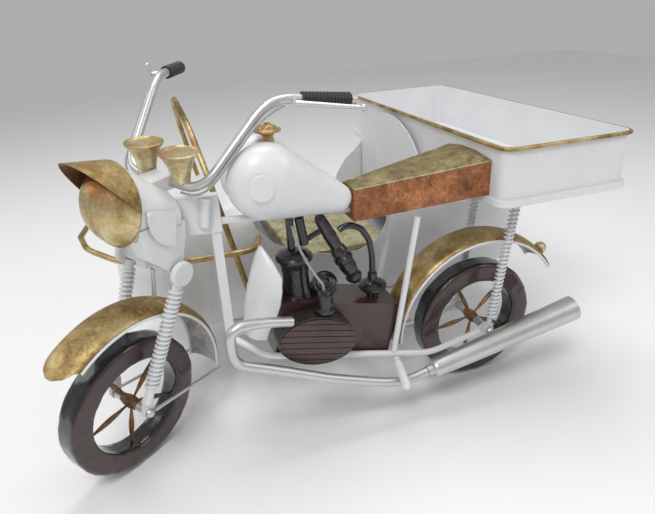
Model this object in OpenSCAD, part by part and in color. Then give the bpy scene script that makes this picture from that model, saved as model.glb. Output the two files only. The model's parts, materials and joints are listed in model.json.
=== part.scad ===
// Decorative sheet-metal motorcycle with a sidecar and a wide rear tray.
// +Z is up, the front of the machine points to -X, the sidecar is on the +Y side.
// Lengths are millimetres. Shapes are laid out from the rear wheel's contact point and
// moved at the end, so that the origin is the centre of the base of the whole object.

/* [Wheels] */
// Outer radius of every tyre
tyre_r = 100; // [98:1:102]
// Width of a tyre
tyre_w = 36.5; // [34:0.5:38]
// Radius of the hole inside a tyre
tyre_hole_r = 67; // [65:1:69]
// Radius of the axle rods
axle_r = 4; // [3.5:0.1:4.2]
// Radial clearance of a wheel hub on its axle
running_gap = 0.05; // [0.02:0.01:0.09]
// Number of spokes in a wheel
spoke_count = 5; // [4:1:6]

/* [Steering] */
// Backward lean of the steering axis, degrees
rake = 10; // [9:0.5:11]
// Angle by which the front end is turned to the left at rest, degrees
steer = 37.35; // [36:0.05:38]
// Radius of the steering stem
stem_r = 6; // [5:0.5:6.5]
// Radius of the handlebar tube
bar_r = 6; // [5:0.5:6.5]

/* [Frame] */
// Radius of the round frame tubes
frame_r = 4.8; // [4:0.2:5.2]
// Side of the square down tube
down_tube_w = 12; // [10:1:13]
// Nose-up slope of the engine, degrees
engine_pitch = 13.5; // [12:0.5:14]
// Radius of the exhaust pipe
exhaust_r = 7; // [6:0.5:7.5]

/* [Tray] */
// Size of the tray tub along X
tray_l = 208; // [204:1:210]
// Size of the tray tub along Y
tray_w = 526; // [522:1:528]
// Height of the tray tub
tray_h = 80; // [76:1:82]
// Radius of the wire that finishes the tray's edge
rim_wire_r = 2.8; // [2.4:0.1:3]

/* [Sidecar] */
// Distance of the sidecar's centre plane from the motorcycle's
sidecar_y = 255; // [250:1:258]
// Half width of the sidecar body
sidecar_half_w = 130; // [126:1:132]

/* [Sheet] */
// Thickness of the sheet metal
sheet = 1.2; // [1:0.1:1.4]

/* [Hidden] */
$fn = 48;
ORIGIN_SHIFT = [216.312, -166.159, 0];      // base centre of the whole object from the layout origin
steer_axis = [sin(rake), 0, cos(rake)];
steer_foot = 19.1;                     // the steering axis passes this far behind the front axle
front_axle_at = [-539.4, -steer_foot * cos(rake) * sin(steer), 101.4];
side_wheel_at = [-62, 427, tyre_r];

// ---------- helpers ----------

function unit(v) = v / norm(v);

// A polyline with each inner corner rounded by a curve that starts `reach` before the corner.
function rounded(points, reach, steps = 5) = concat(
    [points[0]],
    [for (i = [1:len(points) - 2])
        let (into = points[i] - reach * unit(points[i] - points[i - 1]),
             out = points[i] + reach * unit(points[i + 1] - points[i]))
        for (k = [0:steps])
            let (s = k / steps)
            (1 - s) * (1 - s) * into + 2 * s * (1 - s) * points[i] + s * s * out],
    [points[len(points) - 1]]);

function tangent(path, i) =
    unit(path[min(i + 1, len(path) - 1)] - path[max(i - 1, 0)]);

// A round bar swept along a path; ref is a direction that the path never runs along.
module tube(path, radius, ref = [0, 1, 0], sides = 12) {
    rings = len(path);
    points = [for (i = [0:rings - 1])
        let (t = tangent(path, i), n = unit(cross(ref, t)), b = cross(t, n))
        for (k = [0:sides - 1])
            let (a = 360 * k / sides) path[i] + radius * (cos(a) * n + sin(a) * b)];
    walls = [for (i = [0:rings - 2]) for (k = [0:sides - 1])
        let (j = (k + 1) % sides)
        [i * sides + k, (i + 1) * sides + k, (i + 1) * sides + j, i * sides + j]];
    first = [for (k = [0:sides - 1]) k];
    last = [for (k = [sides - 1:-1:0]) (rings - 1) * sides + k];
    polyhedron(points, concat([first], walls, [last]));
}

// A straight round bar between two points.
module rod(from, to, radius) {
    v = to - from;
    translate(from)
        rotate([0, acos(v[2] / norm(v)), atan2(v[1], v[0])])
            cylinder(r = radius, h = norm(v));
}

// Its child's Z axis is laid from one point towards another.
module along(from, to) {
    v = to - from;
    translate(from)
        rotate([0, acos(v[2] / norm(v)), atan2(v[1], v[0])])
            children();
}

module lathe_y() rotate([-90, 0, 0]) rotate_extrude() children();

module mirrored_pair() {
    children();
    mirror([0, 1, 0]) children();
}

// A profile in the X-Z plane made into a plate from y0 to y1.
module plate_y(y0, y1) translate([0, y1, 0]) rotate([90, 0, 0]) linear_extrude(y1 - y0) children();

// Places the children, drawn about the front axle with the wheel straight, on the turned fork.
module steered() translate(front_axle_at) rotate(a = steer, v = steer_axis) children();

module engine_frame() translate([-148, 0, 174]) rotate([0, engine_pitch, 0]) children();

// +X runs backward along the headlamp's axis, from the plane of its rim.
module lamp_frame() translate([27, 0, 283]) rotate([0, 12, 0]) children();

module lathe_x() rotate([0, 90, 0]) rotate_extrude() children();

// ---------- wheels, drawn about their own centres, axle along Y ----------

module tyre() {
    edge = 3;
    half = tyre_w / 2;
    color("black") lathe_y() polygon([
        [tyre_hole_r, -half + edge], [tyre_hole_r + edge, -half], [tyre_r - edge, -half],
        [tyre_r, -half + edge], [tyre_r, half - edge], [tyre_r - edge, half],
        [tyre_hole_r + edge, half], [tyre_hole_r, half - edge]]);
}

hub_half = 15;
hub_r = 9;

module hub_and_spokes(first_angle) {
    spoke_from = hub_r + 0.05;
    spoke_to = tyre_hole_r - 0.3;
    spoke_l = spoke_to - spoke_from;
    steps = 10;
    color("saddlebrown") {
        difference() {
            lathe_y() polygon(concat(
                [[0, -hub_half]],
                [for (k = [0:8]) let (s = k / 8)
                    [6.2 + (hub_r - 6.2) * sin(180 * s), (2 * s - 1) * hub_half]],
                [[0, hub_half]]));
            rotate([-90, 0, 0])
                translate([0, 0, -hub_half - 1])
                    cylinder(r = axle_r + running_gap, h = 2 * hub_half + 2);
        }
        for (k = [0:spoke_count - 1])
            rotate([0, -(first_angle + 360 * k / spoke_count), 0])
                translate([spoke_from, 0, 0])
                    lathe_x() polygon(concat(
                        [[0, 0]],
                        [for (i = [0:steps]) let (s = i / steps)
                            [1.5 + 2.2 * pow(sin(180 * s), 1.5), spoke_l * s]],
                        [[0, spoke_l]]));
    }
}

// An axle rod with a collar on each side of the hub and a domed nut on each end.
module axle_set(half, collar_to) {
    color("silver") {
        rotate([-90, 0, 0]) translate([0, 0, -half]) cylinder(r = axle_r, h = 2 * half);
        mirrored_pair()
            rotate([-90, 0, 0])
                translate([0, 0, hub_half + 0.4])
                    difference() {
                        cylinder(r = 6.2, h = collar_to - hub_half - 0.8);
                        translate([0, 0, -1]) cylinder(r = axle_r - 0.5, h = collar_to);
                    }
    }
}

module domed_nut(y) {
    color("silver")
        translate([0, y, 0])
            rotate([-90, 0, 0])
                rotate_extrude()
                    polygon(concat([[0, 0]], [for (a = [0:15:90]) [6.5 * cos(a), 7 * sin(a)]]));
}

module tyre_front() steered() tyre();
module wheel_front() steered() hub_and_spokes(44);
module tyre_rear() translate([0, 0, tyre_r]) tyre();
module wheel_rear() translate([0, 0, tyre_r]) hub_and_spokes(45);
module tyre_side() translate(side_wheel_at) tyre();
module wheel_side() translate(side_wheel_at) hub_and_spokes(60);

// ---------- front fork, drawn about the front axle with the wheel straight ----------

fork_top = [70, 51, 187];
fork_foot = [-1, 33, 3];
leg_eye_half = 3;
stem_low_z = 200;
stem_top_z = 298;
bar_z = 289.5;                         // height of the handlebar's middle
function axis_x(z) = steer_foot + z * tan(rake);

module fork_crown() steered() {
    color("white") {
        // stem through the head tube
        rod([axis_x(stem_low_z), 0, stem_low_z], [axis_x(stem_top_z), 0, stem_top_z], stem_r);
        // cross tube between the two large end discs
        rotate([90, 0, 0]) translate([70, 187, -48]) cylinder(r = 8, h = 96);
        // lower yoke
        difference() {
            translate([axis_x(stem_low_z) - 4, -9, 188]) cube([20, 18, 14]);
            rotate([90, 0, 0]) translate([70, 187, -48]) cylinder(r = 7.5, h = 96);
        }
        // handlebar clamp
        difference() {
            translate([axis_x(stem_top_z) - 12, -16, bar_z - 8.5]) cube([46, 32, 17]);
            rotate([90, 0, 0]) translate([103.3, bar_z, -30]) cylinder(r = bar_r + 0.1, h = 60);
        }
        mirrored_pair()
            translate([70, 48, 187])
                rotate([-90, 0, 0])
                    rotate_extrude()
                        polygon([[0, 0], [15, 0], [17, 2], [17, 6], [15, 8], [0, 8]]);
    }
}

module fork_legs() steered() {
    top = fork_top - [1.3, 5, 11.2];
    foot = fork_foot + [2, 1, 12];
    color("white") mirrored_pair() {
        difference() {
            rod(foot, top, 6);
            translate([70, 47.8, 187]) rotate([-90, 0, 0]) cylinder(r = 17.4, h = 20);
        }
        difference() {
            plate_y(33 - leg_eye_half, 33 + leg_eye_half) hull() {
                circle(r = 8);
                translate([4, 20]) circle(r = 7);
            }
            rotate([-90, 0, 0]) cylinder(r = axle_r + 0.02, h = 50);
        }
    }
}

// A close coil on a straight rod: a sleeve with one rounded rib for each turn.
module coil_sleeve(from, to, inner_r, rib_r, wire, pitch) {
    length = norm(to - from);
    turns = floor(length / pitch);
    step = length / turns;
    along(from, to)
        rotate_extrude()
            polygon(concat(
                [[inner_r, 0]],
                [for (k = [0:turns - 1])
                    each [[rib_r - wire, step * k], [rib_r, step * (k + 0.3)],
                          [rib_r, step * (k + 0.7)]]],
                [[rib_r - wire, length], [inner_r, length]]));
}

module fork_springs() steered() {
    axis = fork_top - [0, 5, 8] - (fork_foot + [2, 1, 12]);
    foot = fork_foot + [2, 1, 12];
    color("whitesmoke") mirrored_pair()
        coil_sleeve(foot + 0.14 * axis, foot + 0.9 * axis, 6.45, 10, 2.4, 7.9);
}

module front_axle() steered() {
    axle_set(36.5, 30);
    mirrored_pair() domed_nut(36.5);
}

// Crowned fender arc about an axle: angles are measured from straight back, going up.
module fender(edge_r, crown_r, half_w, from, to) {
    steps = 8;
    bead = 2;
    function crown(k, inset) =
        let (s = 2 * k / steps - 1)
        [edge_r + (crown_r - edge_r) * cos(90 * s) - inset, half_w * s];
    rotate([-90, 0, 0])
        rotate([0, 0, -to]) {
            rotate_extrude(angle = to - from)
                polygon(concat(
                    [for (k = [0:steps]) crown(k, 0)],
                    [for (k = [steps:-1:0]) crown(k, sheet)]));
            for (s = [-1, 1])
                rotate_extrude(angle = to - from)
                    translate([edge_r - 0.5 * bead, s * half_w]) circle(r = bead, $fn = 16);
        }
}

module front_fender() steered() color("darkgoldenrod") {
    fender(137, 148, 29, -9, 131);
}

module fender_stays() steered() {
    color("silver") mirrored_pair() {
        rod([136, 33.8, -18], [8, 37.6, -1], 2.4);
    }
    // strap up to the fork crown
    color("silver") rod([63.5, 0, 137], [67, 0, 178.5], 3);
}

// ---------- headlamp, nacelle and handlebar ----------

bucket_r = 47.5;
bucket_l = 62;

// Tapers from the round rim to a low oval under the handlebar.
module bucket_block(inset, from, to) {
    oval = [46 - inset, 31 - inset];
    hull() {
        lamp_frame() rotate([0, 90, 0]) translate([0, 0, from]) cylinder(r = bucket_r - inset, h = 0.1, $fn = 72);
        lamp_frame() translate([to, 0, -15]) rotate([90, 0, 90]) linear_extrude(0.1)
            polygon([for (a = [0:5:355]) [oval[0] * cos(a), oval[1] * sin(a)]]);
    }
}

module lamp_bucket() steered() color("white") difference() {
    bucket_block(0, 1.1, bucket_l - 0.1);
    bucket_block(sheet, -0.5, bucket_l + 0.5);
    // the stem comes up through the floor
    rod([axis_x(200), 0, 200], [axis_x(245), 0, 245], stem_r + 0.4);
    // slot for the handlebar clamp
    translate([56, -16.5, bar_z - 9]) cube([60, 33, 60]);
}

dome_r = 48.5;
dome_depth = 32;
dome_ball_r = (dome_r * dome_r + dome_depth * dome_depth) / (2 * dome_depth);

function dome_line(r) = [for (k = [0:10])
    let (a = asin(dome_r / dome_ball_r) * k / 10)
    [r * sin(a), dome_ball_r - dome_depth - r * cos(a)]];

module lamp_dome() {
    inner = dome_line(dome_ball_r - sheet);
    color("goldenrod") steered() lamp_frame() lathe_x()
        polygon(concat(dome_line(dome_ball_r),
            [[dome_r + 1.6, -1], [dome_r + 1.6, -0.2], [inner[10][0], -0.2]],
            [for (k = [10:-1:0]) inner[k]]));
}

module lamp_visor() steered() lamp_frame() {
    reach = 62;
    visor_r = 51.3;
    color("darkgoldenrod")
        difference() {
            rotate([0, -90, 0]) difference() {
                cylinder(r = visor_r, h = reach, $fn = 72);
                translate([0, 0, -1]) cylinder(r = visor_r - sheet, h = reach + 2, $fn = 72);
            }
            // slanted cut from the rim's sides up to the peak
            rotate([0, 42, 0]) translate([-200, -100, -150]) cube([400, 200, 150]);
            translate([-1.2, -100, -100]) cube([50, 200, 200]);
            translate([-reach, 0, 0]) rotate([0, -25, 0])
                translate([-60, -100, -100]) cube([60, 200, 300]);
        }
}

// Outline of the skirt's near and far walls, drawn in by inset.
module skirt_block(inset, rise) {
    hull()
        for (w = [[-45, [[22, 262], [36, 216], [62, 190], [80, 196], [90, 236], [92, 262]]],
                  [-5, [[30, 262], [44, 207], [60, 207], [60, 262]]],
                  [36, [[62, 262], [66, 206], [66, 185], [80, 185], [90, 236], [92, 262]]]])
            plate_y(w[0] + sign(-w[0]) * inset, w[0] + sign(-w[0]) * inset + 1)
                translate([inset * 1.2, rise]) polygon(w[1]);
}

module nacelle_skirt() steered() {
    color("white") {
        difference() {
            skirt_block(0, 0);
            hull() {
                skirt_block(sheet, sheet);
                skirt_block(sheet, 30);
            }
            lamp_frame() rotate([0, 90, 0]) translate([0, 0, -20]) cylinder(r = bucket_r + 0.8, h = 140);
            lamp_frame() rotate([0, 90, 0]) translate([0, 0, -60]) cylinder(r = dome_r + 2.5, h = 60.4);
            bucket_block(-0.8, -1, bucket_l + 1);
            // room for the crown's cross tube, yoke and stem
            rod([70, -60, 187], [70, 60, 187], 8.4);
            translate([axis_x(stem_low_z) - 4.4, -9.4, 170]) cube([40, 18.8, 32.4]);
            rod([axis_x(180), 0, 180], [axis_x(245), 0, 245], stem_r + 0.4);
        }
        // flat side plates with a rivet
        mirrored_pair() {
            plate_y(bucket_r + 0.8, bucket_r + 2.2) polygon([[34, 285], [75, 271], [69, 228], [54, 233],
                [42, 244], [36, 257], [33, 272]]);
            translate([37, bucket_r + 2.2, 279]) rotate([-90, 0, 0])
                rotate_extrude() polygon([[0, 0], [3, 0], [2.4, 1.2], [0, 2]]);
        }
    }
}

bar_corners = [[103.3, 0, bar_z], [103.3, -65.5, bar_z], [194.4, -96.1, 385.4],
    [295.6, -157.1, 374.4]];

module handlebar() steered() {
    left = rounded(bar_corners, 30, 7);
    right = [for (i = [len(left) - 1:-1:1]) [left[i][0], -left[i][1], left[i][2]]];
    color("silver") tube(concat(right, left), bar_r, [0.7, 0, -0.7], 16);
}

grip_dir = unit(bar_corners[3] - bar_corners[2]);

module grips() steered() {
    from = bar_corners[2] + 42 * grip_dir;
    to = bar_corners[2] + 110 * grip_dir;
    color("black") mirrored_pair() coil_sleeve(from, to, bar_r + 0.6, 9, 1.2, 4.6);
}

module levers() steered() {
    root = bar_corners[2] + 34 * grip_dir;
    tip = [258.3, -190.7, 377.2];
    knuckle = root + [-12, -10, -1];
    color("silver") mirrored_pair() {
        along(knuckle, tip)
            rotate_extrude()
                polygon([[0, 0], [3.6, 0], [3.2, 20], [2.4, norm(tip - knuckle) - 3], [0, norm(tip - knuckle) - 3]]);
        translate(tip) sphere(r = 4.6);
        difference() {
            rod(root, knuckle + [-1, -1, 0], 3.4);
            rod(bar_corners[2], bar_corners[3], bar_r + 0.2);
        }
    }
}

module gauges() steered() {
    color("goldenrod") difference() {
        for (side = [-1, 1])
            translate([105.5, side * 30, bar_z + 3.5])
                rotate_extrude() polygon([[0, 0], [11, 0], [12.5, 10], [15, 20], [19.5, 30], [24, 36],
                    [24, 37.6], [22.5, 38], [21, 36.6], [0, 36.6]]);
        rod([103.3, -64, bar_z], [103.3, 64, bar_z], bar_r + 0.2);
    }
}

module brake_cables() steered() {
    color("dimgray") mirrored_pair()
        tube(rounded([[97.4, -36, bar_z - 6.3], [97.4, -72.5, bar_z - 6.3], [178.5, -99.8, 368.7],
                [202, -114, 379]], 28, 5),
            1.6, [0.7, 0, -0.7], 8);
}

// ---------- motorcycle frame ----------

head_low_z = 234;                      // heights above the front axle
head_top_z = 276;
function head_x(z) = front_axle_at[0] + steer_foot * cos(steer) + (z - front_axle_at[2]) * tan(rake);

module neck_bracket() {
    back = -386;
    color("gainsboro") difference() {
        union() {
            steered() rod([axis_x(head_low_z), 0, head_low_z], [axis_x(head_top_z), 0, head_top_z], 10);
            // sheet box from the head tube back to the down tube
            plate_y(-7, 7) polygon([[head_x(338) + 4, 338], [-452, 337], [-430, 325], [back - 13, 321],
                [back, 322], [back, 371], [head_x(371) + 4, 371]]);
            // round post on the side of the box
            rod([-408, -9, 334], [-402, -9, 368], 7.5);
        }
        steered() rod([axis_x(head_low_z - 9), 0, head_low_z - 9],
            [axis_x(head_top_z + 9), 0, head_top_z + 9], stem_r + running_gap);
    }
}

down_x = -394;
cradle = [[-388, 8.5, 160], [-352, 38, 141], [-98, 40, 79], [-12, 42, 97]];

module down_tube() {
    color("white")
        translate([down_x - down_tube_w / 2, -down_tube_w / 2, 150])
            cube([down_tube_w, down_tube_w, 170.5]);
}

module top_tube() {
    color("white") rod([-385.5, 0, 334], [-24, 0, 308], frame_r);
}

// Each lower tube ends in a flat plate with the rear axle's hole.
module lower_tubes() {
    color("white") mirrored_pair() {
        tube(rounded(cradle, 16, 4), frame_r, [0, 0, 1]);
        difference() {
            plate_y(38.5, 42.5) hull() {
                translate([0, tyre_r]) circle(r = 9);
                translate([-16, 96]) circle(r = 5);
            }
            translate([0, 30, tyre_r]) rotate([-90, 0, 0]) cylinder(r = axle_r + 0.02, h = 20);
        }
    }
}

module seat_stays() {
    color("white") mirrored_pair() rod([-160, 40, 99], [-125, 40, 309], 4.5);
}

module rear_axle() translate([0, 0, tyre_r]) {
    axle_set(51, 38);
    mirrored_pair() domed_nut(51);
}

// ---------- tank and seat ----------

tank_front = [-328, 24, 384];
tank_rear = [-233, 17, 346];

module tank_lobe(inset) {
    hull() {
        translate(tank_front) scale([1, 0.68, 1]) sphere(r = 50 - inset, $fn = 32);
        translate(tank_rear) scale([1, 0.8, 1]) sphere(r = 20.5 - inset, $fn = 20);
    }
}

badge_at = [-340, -58, 386];

module tank_shell() {
    color("white") difference() {
        union() {
            tank_lobe(0);
            mirror([0, 1, 0]) tank_lobe(0);
        }
        union() {
            tank_lobe(sheet);
            mirror([0, 1, 0]) tank_lobe(sheet);
        }
        // feed hole over the engine, filler hole under the cap
        translate([-296, 0, 310]) cylinder(r = 7, h = 40);
        translate([-315, 0, 400]) cylinder(r = 9, h = 40);
        mirrored_pair()
            translate(badge_at + [0, 1.4, 0]) rotate([90, 0, 0]) cylinder(r = 16.8, h = 10);
    }
}

module tank_badges() {
    color("gainsboro") mirrored_pair()
        translate(badge_at + [0, 1.2, 0]) rotate([90, 0, 0])
            rotate_extrude() polygon([[0, 0], [16.5, 0], [16.5, 1.4], [15, 2], [0, 2.2]]);
}

module filler_cap() {
    color("goldenrod") translate([-315, 0, 420.4]) rotate_extrude()
        polygon([[0, 0], [8.5, 0], [8.5, 2], [8, 4], [7, 14], [9, 17], [17, 20], [17.5, 22.5], [15, 24],
            [12, 24.5], [10.5, 27], [5, 28.5], [4, 30.5], [0, 31]]);
}

seat_front = [-210.5, 20, 309, 356];   // x, half width, bottom, top
seat_back = [-23.4, 55, 329, 379];

module seat_block(x0, x1, inset, low) {
    hull() for (e = [[seat_front, x0], [seat_back, x1]]) {
        half = e[0][1] - inset;
        translate([e[1], -half, e[0][2] + low])
            cube([0.5, 2 * half, e[0][3] - e[0][2] - low - 3 - inset]);
    }
}

module seat_body() {
    color("sienna") difference() {
        seat_block(seat_front[0], seat_back[0] - 0.5, 0, 0);
        seat_block(seat_front[0] + sheet, seat_back[0] - 0.5 - sheet, sheet, -1);
        rod([-385, 0, 334], [-10, 0, 307], frame_r + 0.3);
    }
}

// Crowned sheet on the saddle's top, with a flat underside.
module seat_cover() {
    crown = 5.5;
    color("peru") hull() for (e = [[seat_front, 0], [seat_back, -0.5]]) {
        half = e[0][1] + 0.8;
        rise = crown * half / (seat_back[1] + 0.8);
        translate([e[0][0] + e[1], 0, e[0][3] - 1.5]) rotate([90, 0, 90]) linear_extrude(0.5)
            polygon([[-half, -1.3], [half, -1.3], [half, 0], [0.35 * half, rise], [-0.35 * half, rise], [-half, 0]]);
    }
}

// ---------- engine ----------

case_l = 178;
case_h = 82;
case_half_w = 33;
cover_at = [-284, 0, 162];
cover_face_y = -66;

module crankcase() {
    color("black") engine_frame() difference() {
        translate([-case_l, -case_half_w, -case_h]) cube([case_l, 2 * case_half_w, case_h]);
        translate([-case_l + sheet, -case_half_w + sheet, -case_h - 1])
            cube([case_l - 2 * sheet, 2 * (case_half_w - sheet), case_h - sheet + 1]);
    }
}

module side_cover() {
    function oval(inset) = [for (a = [0:7.5:352.5]) [(57 - inset) * cos(a), (37 - inset) * sin(a)]];
    color("dimgray") translate(cover_at) rotate([0, engine_pitch, 0]) difference() {
        union() {
            plate_y(cover_face_y + 2, -case_half_w - 0.2) polygon(oval(0));
            plate_y(cover_face_y, cover_face_y + 3) polygon(oval(2));
        }
        plate_y(cover_face_y + 4, -case_half_w + 1) polygon(oval(sheet + 1));
        // room for the lower frame tube
        rotate([0, -engine_pitch, 0]) translate(-cover_at) rod([cradle[1][0], -cradle[1][1], cradle[1][2]],
            [cradle[2][0], -cradle[2][1], cradle[2][2]], frame_r + 0.4);
    }
}

module above_case() {
    difference() {
        children();
        engine_frame() translate([-300, -60, -200]) cube([500, 120, 200.2]);
    }
}

module engine_cylinder() {
    color("black") above_case() translate([-293, 0, 190]) difference() {
        rotate_extrude() polygon([[0, 0], [23, 0], [23, 18], [21, 24], [19, 36], [18.5, 50], [20, 62], [22, 70],
            [26, 73], [26, 77], [24, 80], [18, 84], [10, 86.5], [0, 87]]);
        translate([0, 0, -1]) cylinder_core();
    }
}

module cylinder_core() {
    rotate_extrude() polygon([[0, 0], [17, 0], [17, 60], [10, 75], [0, 75]]);
}

module carburettor_dome() {
    steps = 3;
    color("black") above_case() difference() {
        translate([-253, -6, 217]) rotate([50, 0, 0]) rotate_extrude()
            polygon(concat(
                [[0, -14], [15, -14], [19, -8], [19, 2]],
                [for (k = [0:steps - 1])
                    each [[19 - 5 * k, 2 + 4 * k], [18 - 5 * k, 5 + 4 * k], [15 - 5 * k, 5.5 + 4 * k]]],
                [[0, 16]]));
        translate([-293, 0, 190]) cylinder(r = 23.3, h = 80);
    }
}

module spark_plug() {
    color("gray") translate([-269, -50.5, 200.9]) difference() {
        rotate_extrude() polygon([[0, 0], [14, 0], [14, 3], [11, 5], [9.5, 6], [9.5, 20], [10.5, 21], [10.5, 24],
            [8, 26], [4, 26], [3, 31], [0, 31]]);
        translate(cover_at - [-269, -50.5, 200.9]) rotate([0, engine_pitch, 0])
            plate_y(-60, 60) polygon([for (a = [0:7.5:352.5]) [57.3 * cos(a), 37.3 * sin(a)]]);
    }
}

module plug_cable() {
    route = [[-269, -50.5, 232.3], [-270, -52, 242], [-277, -50, 252], [-285, -42, 268], [-292, -33, 286],
        [-297, -27, 304], [-299, -24, 320]];
    color("dimgray") tube(rounded(route, 4, 2), 1.8, [1, 0, 0], 8);
}

module intake_pipe() {
    color("black") {
        rod([-296, 0, 277.5], [-296, 0, 321.5], 5.5);
        rod([-281, 5, 281.4], [-254, 0, 296], 4);
        rod([-283, -2, 321.5], [-278, -2, 282], 6.5);
    }
}

module spindle_pipe() {
    top = [-258, -10, 321.8];
    foot = [-207, -14, 216];
    l = norm(top - foot);
    color("black") along(foot, top) rotate_extrude()
        polygon([[0, 0], [7, 0], [10, 4], [12, 8], [12, 12], [8, 15], [11, 20], [12.5, 28], [12, 38],
            [14, 41], [14, 46], [11, 50], [12.5, 55], [11.5, 60], [9, 66], [9.5, 84], [8, l - 5],
            [6, l], [0, l]]);
}

module air_cleaner() {
    color("black") above_case() translate([-180, -8, 176]) rotate_extrude()
        polygon([[0, 0], [9, 0], [9, 14], [15, 16], [20, 21], [21, 25], [20, 28], [14, 32], [8, 34], [7, 36], [7, 44],
            [6, 46], [0, 46]]);
}

module breather_hose() {
    route = [[-231, -12, 297], [-224, -12, 302], [-212, -12, 302], [-196, -10, 293], [-184, -8, 273],
        [-180, -8, 248], [-180, -8, 222.4]];
    color("black") tube(rounded(route, 6, 3), 4.6, [0, 1, 0], 12);
}

// A leaf-shaped guard bent round the front of the engine: height, front X, depth and half width.
shield_rows = [[162, -373, 24, 31], [176, -373, 28, 34], [196, -370, 35, 38], [215, -366, 38, 40],
    [235, -361, 37, 40], [253, -355, 33, 36], [273, -348, 19, 22], [290, -341, 3, 3]];

module leg_shield() {
    steps = 12;
    n = steps + 1;
    rows = len(shield_rows);
    function row(r, inset) = [for (k = [0:steps])
        let (s = 2 * k / steps - 1)
        [r[1] + inset + r[2] * (1 - cos(85 * s)) / (1 - cos(85)), (r[3] - inset) * sin(85 * s), r[0]]];
    points = concat(
        [for (r = shield_rows) each row(r, 0)],
        [for (r = shield_rows) each row(r, sheet)]);
    m = rows * n;
    color("white") polyhedron(points, concat(
        [for (i = [0:rows - 2]) for (k = [0:steps - 1])
            [i * n + k, i * n + k + 1, (i + 1) * n + k + 1, (i + 1) * n + k]],
        [for (i = [0:rows - 2]) for (k = [0:steps - 1])
            [m + i * n + k, m + (i + 1) * n + k, m + (i + 1) * n + k + 1, m + i * n + k + 1]],
        [for (i = [0:rows - 2]) [i * n, (i + 1) * n, m + (i + 1) * n, m + i * n]],
        [for (i = [0:rows - 2])
            [i * n + steps, m + i * n + steps, m + (i + 1) * n + steps, (i + 1) * n + steps]],
        [for (k = [0:steps - 1]) [k, m + k, m + k + 1, k + 1]],
        [for (k = [0:steps - 1]) let (o = (rows - 1) * n) [o + k, o + k + 1, m + o + k + 1, m + o + k]]));
}

exhaust_route = [[-320, -64, 203], [-362, -73, 217], [-404, -78, 220], [-404, -78, 168], [-350, -78, 144],
    [-275, -78, 108], [-200, -79, 80], [-160, -80, 70], [-125, -80, 78]];

module exhaust_pipe() {
    color("silver") tube(rounded(exhaust_route, 19, 6), exhaust_r, [0, 1, 0], 16);
}

module muffler() {
    from = [-124.6, -80, 78];
    to = [130, -80, 126];
    l = norm(to - from);
    color("silver") along(from, to) rotate_extrude()
        polygon([[0, 0], [8.5, 0], [8.5, 8], [13, 11], [14, 14], [19.5, l], [18, l], [12.5, 16], [0, 14]]);
}

module footpegs() {
    color("whitesmoke") mirrored_pair()
        along([-158, 45.2, 86.5], [-175, 115.5, 87]) rotate_extrude()
            polygon(concat([[0, 0], [5, 0]],
                [for (k = [0:11]) each [[5, 10 + 4.8 * k], [6, 11.5 + 4.8 * k], [6, 13.3 + 4.8 * k]]],
                [[5, 69], [0, 72]]));
}

// ---------- rear fender, lamp and shocks ----------

module rear_fender() translate([0, 0, tyre_r]) color("darkgoldenrod") {
    fender(143, 152, 29, 33, 180);
}

module tail_lamp() {
    color("goldenrod") along([119, 0, 196.5], [132, 0, 204.5]) rotate_extrude()
        polygon([[0, 0], [8, 0], [10, 2], [10, 5], [9, 9], [6, 13], [0, 15]]);
}

shock_foot = [0, 46.5, tyre_r];
shock_top = [30, 50, 318.5];

module shock_rods() {
    color("white") mirrored_pair() {
        rod(shock_foot + [1, 0, 8], shock_top, 4);
        difference() {
            plate_y(44, 49) translate([0, tyre_r]) circle(r = 9);
            translate([0, 30, tyre_r]) rotate([-90, 0, 0]) cylinder(r = axle_r + 0.02, h = 30);
        }
    }
}

module shock_springs() {
    axis = shock_top - shock_foot;
    color("whitesmoke") mirrored_pair()
        coil_sleeve(shock_foot + 0.1 * axis, shock_foot + 0.96 * axis, 4.3, 8.5, 3, 8.4);
}

// ---------- tray ----------

tray_at = [-22.4, -85, 321];
tray_corner = 16;

// Outline with round corners between two opposite corner points.
module rounded_rect(low, high, r) {
    translate([low[0], low[1] + r]) square([high[0] - low[0], high[1] - low[1] - 2 * r]);
    translate([low[0] + r, low[1]]) square([high[0] - low[0] - 2 * r, high[1] - low[1]]);
    for (x = [low[0] + r, high[0] - r], y = [low[1] + r, high[1] - r]) translate([x, y]) circle(r = r);
}

module tray_outline(inset) {
    rounded_rect([tray_at[0] + inset, tray_at[1] + inset],
        [tray_at[0] + tray_l - inset, tray_at[1] + tray_w - inset], tray_corner - inset);
}

module tray_tub() {
    color("white") translate([0, 0, tray_at[2]]) difference() {
        linear_extrude(tray_h) tray_outline(0);
        translate([0, 0, sheet]) linear_extrude(tray_h) tray_outline(sheet);
    }
}

module tray_rim() {
    out = rim_wire_r + 0.1;
    z = tray_at[2] + tray_h - rim_wire_r;
    x0 = tray_at[0] - out;
    x1 = tray_at[0] + tray_l + out;
    y0 = tray_at[1] - out;
    y1 = tray_at[1] + tray_w + out;
    r = tray_corner + out;
    color("darkgoldenrod") {
        for (x = [x0, x1]) rod([x, y0 + r, z], [x, y1 - r, z], rim_wire_r);
        for (y = [y0, y1]) rod([x0 + r, y, z], [x1 - r, y, z], rim_wire_r);
        for (c = [[x0 + r, y0 + r, 180], [x1 - r, y0 + r, 270], [x1 - r, y1 - r, 0], [x0 + r, y1 - r, 90]])
            translate([c[0], c[1], z]) rotate([0, 0, c[2]])
                rotate_extrude(angle = 90) translate([r, 0]) circle(r = rim_wire_r);
    }
}

// Shallow foot that the tub stands in.
module tray_base() {
    color("white") translate([0, 0, tray_at[2] - 2]) difference() {
        linear_extrude(9) tray_outline(-6);
        translate([0, 0, 1.9]) linear_extrude(20) tray_outline(-0.15);
    }
}

// ---------- sidecar ----------

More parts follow.
